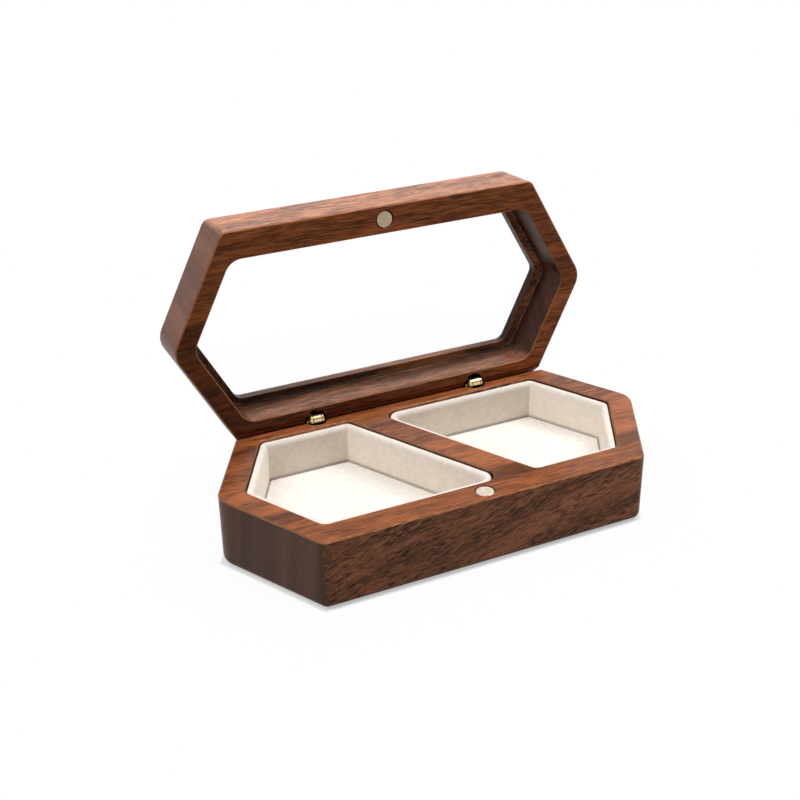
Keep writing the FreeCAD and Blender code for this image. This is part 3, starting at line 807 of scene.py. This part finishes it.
def white_floor(settings):
    """White paper sweep: white where it is seen, with the box's soft shadow, and grey as a source of light.

    The paper's own shade shows through the white by a share that falls with the distance from the box's
    outline, which is the larger of the distances past its long side and past its slanted end.
    """
    material, tree, output = new_material("white_paper_sweep")
    place = add_node(tree, "TexCoord").outputs["Object"]
    folded = add_node(tree, "VectorMath", {"operation": "ABSOLUTE"}, {0: place}).outputs[0]
    slant = Vector((HALF_WIDTH, HALF_LENGTH - HALF_FRONT, 0.0)).normalized()
    past_end = add_node(tree, "VectorMath", {"operation": "DOT_PRODUCT"}, {
        0: folded, 1: slant}).outputs["Value"]
    past_side = add_node(tree, "VectorMath", {"operation": "DOT_PRODUCT"}, {
        0: folded, 1: (0.0, 1.0, 0.0)}).outputs["Value"]
    from_end = add_node(tree, "Math", {"operation": "SUBTRACT"}, {
        0: past_end, 1: slant.x * HALF_LENGTH}).outputs[0]
    from_side = add_node(tree, "Math", {"operation": "SUBTRACT"}, {
        0: past_side, 1: HALF_WIDTH}).outputs[0]
    distance = add_node(tree, "Math", {"operation": "MAXIMUM"}, {
        0: from_end, 1: from_side}).outputs[0]
    touching = add_node(tree, "MapRange", SMOOTH, {
        "Value": distance, "From Min": 0.0, "From Max": CONTACT_REACH,
        "To Min": settings.contact, "To Max": settings.shadow}).outputs[0]
    fading = add_node(tree, "MapRange", SMOOTH, {
        "Value": distance, "From Min": CONTACT_REACH, "From Max": HALF_WIDTH,
        "To Min": 1.0, "To Max": 0.0}).outputs[0]
    near = add_node(tree, "Math", {"operation": "MULTIPLY"}, {0: touching, 1: fading}).outputs[0]
    white = add_node(tree, "Emission", inputs={"Color": (1, 1, 1, 1), "Strength": 1.0})
    paper = add_node(tree, "BsdfDiffuse", inputs={"Color": opaque(linear("#F6F6F6"))})
    seen = add_node(tree, "MixShader", inputs={0: near, 1: white.outputs[0], 2: paper.outputs[0]})
    grey = add_node(tree, "BsdfDiffuse", inputs={"Color": opaque(settings.floor_grey)})
    floor = add_node(tree, "MixShader", inputs={
        0: seen_rays(tree), 1: grey.outputs[0], 2: seen.outputs[0]})
    tree.links.new(floor.outputs[0], output.inputs["Surface"])
    return material


def finish_node(name, material):
    """Gives a solid from the frame its material."""
    slots = NODES[name].data.materials
    slots.clear()
    slots.append(material)


# Operators, one for each group of like pieces

class RINGBOX_OT_finish_wood(bpy.types.Operator):
    """Give the base and the lid their walnut"""
    bl_idname = "ringbox.finish_wood"
    bl_label = "Finish the wood"

    def execute(self, context):
        settings = context.scene.ring_box_walnut
        finish_node("base_body", oiled_walnut("oiled_walnut_base", settings, BLOCKS["base"]))
        finish_node("lid_frame", oiled_walnut("oiled_walnut_lid", settings, BLOCKS["lid"]))
        return {"FINISHED"}


class RINGBOX_OT_line_walls(bpy.types.Operator):
    """Make the velvet lining of the compartment walls"""
    bl_idname = "ringbox.line_walls"
    bl_label = "Line the walls"

    def execute(self, context):
        settings = context.scene.ring_box_velvet
        light, dark = settings.shaded_wall_light, settings.shaded_wall_dark
        velvet = ivory_velvet("ivory_velvet_walls", settings, light, dark, turned=0.6)
        for name, side in (("left", -1), ("right", 1)):
            points, faces = wall_lining(side, settings)
            piece = add_piece(f"{name}_wall_lining", points, faces, velvet, "base")
            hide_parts(f"{name}_wall_velvet")
        return {"FINISHED"}


class RINGBOX_OT_line_floors(bpy.types.Operator):
    """Make the velvet pads on the compartment floors"""
    bl_idname = "ringbox.line_floors"
    bl_label = "Line the floors"

    def execute(self, context):
        settings = context.scene.ring_box_velvet
        light, dark = settings.floor_light, settings.floor_dark
        velvet = ivory_velvet("ivory_velvet_floors", settings, light, dark, turned=0.0)
        for name, side in (("left", -1), ("right", 1)):
            points, faces = floor_pad(side, settings)
            piece = add_piece(f"{name}_floor_pad", points, faces, velvet, "base")
            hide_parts(f"{name}_floor_velvet")
        return {"FINISHED"}


class RINGBOX_OT_finish_card(bpy.types.Operator):
    """Give the card inside the lining its finish"""
    bl_idname = "ringbox.finish_card"
    bl_label = "Finish the card"

    def execute(self, context):
        card = grey_card(context.scene.ring_box_fittings)
        for name in ("left", "right"):
            finish_node(f"{name}_wall_card", card)
            finish_node(f"{name}_floor_card", card)
        return {"FINISHED"}


class RINGBOX_OT_finish_pane(bpy.types.Operator):
    """Give the window in the lid its glass"""
    bl_idname = "ringbox.finish_pane"
    bl_label = "Finish the pane"

    def execute(self, context):
        finish_node("window_pane", float_glass(context.scene.ring_box_fittings))
        return {"FINISHED"}


class RINGBOX_OT_finish_hinges(bpy.types.Operator):
    """Give the barrel hinges their brass"""
    bl_idname = "ringbox.finish_hinges"
    bl_label = "Finish the hinges"

    def execute(self, context):
        brass = polished_brass(context.scene.ring_box_fittings)
        for name in ("left", "right"):
            for part in ("fork_barrel", "tongue_barrel", "pin"):
                finish_node(f"{name}_hinge_{part}", brass)
        return {"FINISHED"}


class RINGBOX_OT_finish_magnets(bpy.types.Operator):
    """Give the disc magnets their nickel plate"""
    bl_idname = "ringbox.finish_magnets"
    bl_label = "Finish the magnets"

    def execute(self, context):
        settings = context.scene.ring_box_fittings
        finish_node("base_magnet", nickel_plate("nickel_plate_base", settings.nickel, roughness=0.7))
        finish_node("lid_magnet", nickel_plate("nickel_plate_lid", settings.shaded_nickel, roughness=0.25))
        return {"FINISHED"}


class RINGBOX_OT_set_stage(bpy.types.Operator):
    """Set the floor, the softboxes, the room and the camera"""
    bl_idname = "ringbox.set_stage"
    bl_label = "Set the stage"

    def execute(self, context):
        settings = context.scene.ring_box_stage
        context.scene.view_settings.view_transform = "Standard"
        add_floor(settings)
        for name, (place, size, power) in SOFTBOXES.items():
            add_softbox(name, place, size, settings.light * power)
        set_room(context.scene, settings)
        context.scene.camera = add_camera(settings)
        return {"FINISHED"}


# Stage

def add_floor(settings):
    """A square white floor under the box."""
    half = settings.floor_size / 2
    mesh = bpy.data.meshes.new("floor")
    corners = [(-half, -half, 0), (half, -half, 0), (half, half, 0), (-half, half, 0)]
    mesh.from_pydata(corners, [], [(0, 1, 2, 3)])
    mesh.materials.append(white_floor(settings))
    floor = bpy.data.objects.new("floor", mesh)
    bpy.context.scene.collection.objects.link(floor)


def add_softbox(name, place, size, power):
    """A square softbox that faces the middle of the box."""
    lamp = bpy.data.lights.new(name, "AREA")
    lamp.size = size
    lamp.energy = power
    softbox = bpy.data.objects.new(name, lamp)
    softbox.location = place
    towards = Vector((0, 0, BASE_HIGH.z)) - Vector(place)
    softbox.rotation_euler = towards.to_track_quat("-Z", "Y").to_euler()
    softbox.visible_camera = False
    bpy.context.scene.collection.objects.link(softbox)


def set_room(scene, settings):
    """A room with a white backdrop that fades upwards where it is seen, dim as a source of light."""
    world = bpy.data.worlds.new("white_room")
    world.use_nodes = True
    tree = world.node_tree
    tree.nodes.clear()
    way = add_node(tree, "TexCoord").outputs["Generated"]
    height = add_node(tree, "SeparateXYZ", inputs={0: way}).outputs["Z"]
    backdrop = add_node(tree, "MapRange", SMOOTH, {
        "Value": height, "From Min": FADE_START, "From Max": FADE_END,
        "To Min": 1.0, "To Max": FADE_LEVEL}).outputs[0]
    level = add_node(tree, "Mix", {"data_type": "FLOAT"}, {
        0: seen_rays(tree), 2: settings.fill, 3: backdrop}).outputs[0]
    room = add_node(tree, "Background", inputs={"Color": (1, 1, 1, 1), "Strength": level})
    output = add_node(tree, "OutputWorld")
    tree.links.new(room.outputs[0], output.inputs["Surface"])
    scene.world = world


def add_camera(settings):
    """Camera on a sphere round its aim, turned by its roll about the line of sight."""
    away = Vector((
        math.sin(settings.azimuth) * math.cos(settings.elevation),
        -math.cos(settings.azimuth) * math.cos(settings.elevation),
        math.sin(settings.elevation)))
    right = Vector((0, 0, 1)).cross(away).normalized()
    up = away.cross(right)
    turned = Matrix((right, up, away)).transposed().to_4x4() @ Matrix.Rotation(settings.roll, 4, "Z")
    place = Matrix.Translation(Vector(settings.aim) + settings.distance * away)
    data = bpy.data.cameras.new("camera")
    data.lens = settings.lens
    data.sensor_width = 36.0
    data.clip_start = 0.01
    camera = bpy.data.objects.new("camera", data)
    camera.matrix_world = place @ turned
    bpy.context.scene.collection.objects.link(camera)
    return camera


# Sidebar

OPERATORS = (
    RINGBOX_OT_finish_wood,
    RINGBOX_OT_line_walls,
    RINGBOX_OT_line_floors,
    RINGBOX_OT_finish_card,
    RINGBOX_OT_finish_pane,
    RINGBOX_OT_finish_hinges,
    RINGBOX_OT_finish_magnets,
    RINGBOX_OT_set_stage,
)
SETTINGS = {
    "ring_box_walnut": WalnutSettings,
    "ring_box_velvet": VelvetSettings,
    "ring_box_fittings": FittingSettings,
    "ring_box_stage": StageSettings,
}


class RINGBOX_PT_sidebar(bpy.types.Panel):
    """Settings and steps of the ring box"""
    bl_idname = "RINGBOX_PT_sidebar"
    bl_label = "Ring box"
    bl_space_type = "VIEW_3D"
    bl_region_type = "UI"
    bl_category = "Ring box"

    def draw(self, context):
        for operator in OPERATORS:
            self.layout.operator(operator.bl_idname)
        for name, group in SETTINGS.items():
            column = self.layout.column()
            column.label(text=group.__doc__)
            for setting in group.__annotations__:
                column.prop(getattr(context.scene, name), setting)


CLASSES = (*SETTINGS.values(), *OPERATORS, RINGBOX_PT_sidebar)


def register():
    for item in CLASSES:
        bpy.utils.register_class(item)
    for name, group in SETTINGS.items():
        setattr(bpy.types.Scene, name, bpy.props.PointerProperty(type=group))


def unregister():
    for name in SETTINGS:
        delattr(bpy.types.Scene, name)
    for item in reversed(CLASSES):
        bpy.utils.unregister_class(item)


def main():
    register()
    bpy.ops.ringbox.finish_wood()
    bpy.ops.ringbox.line_walls()
    bpy.ops.ringbox.line_floors()
    bpy.ops.ringbox.finish_card()
    bpy.ops.ringbox.finish_pane()
    bpy.ops.ringbox.finish_hinges()
    bpy.ops.ringbox.finish_magnets()
    bpy.ops.ringbox.set_stage()


if __name__ == "__main__":
    main()
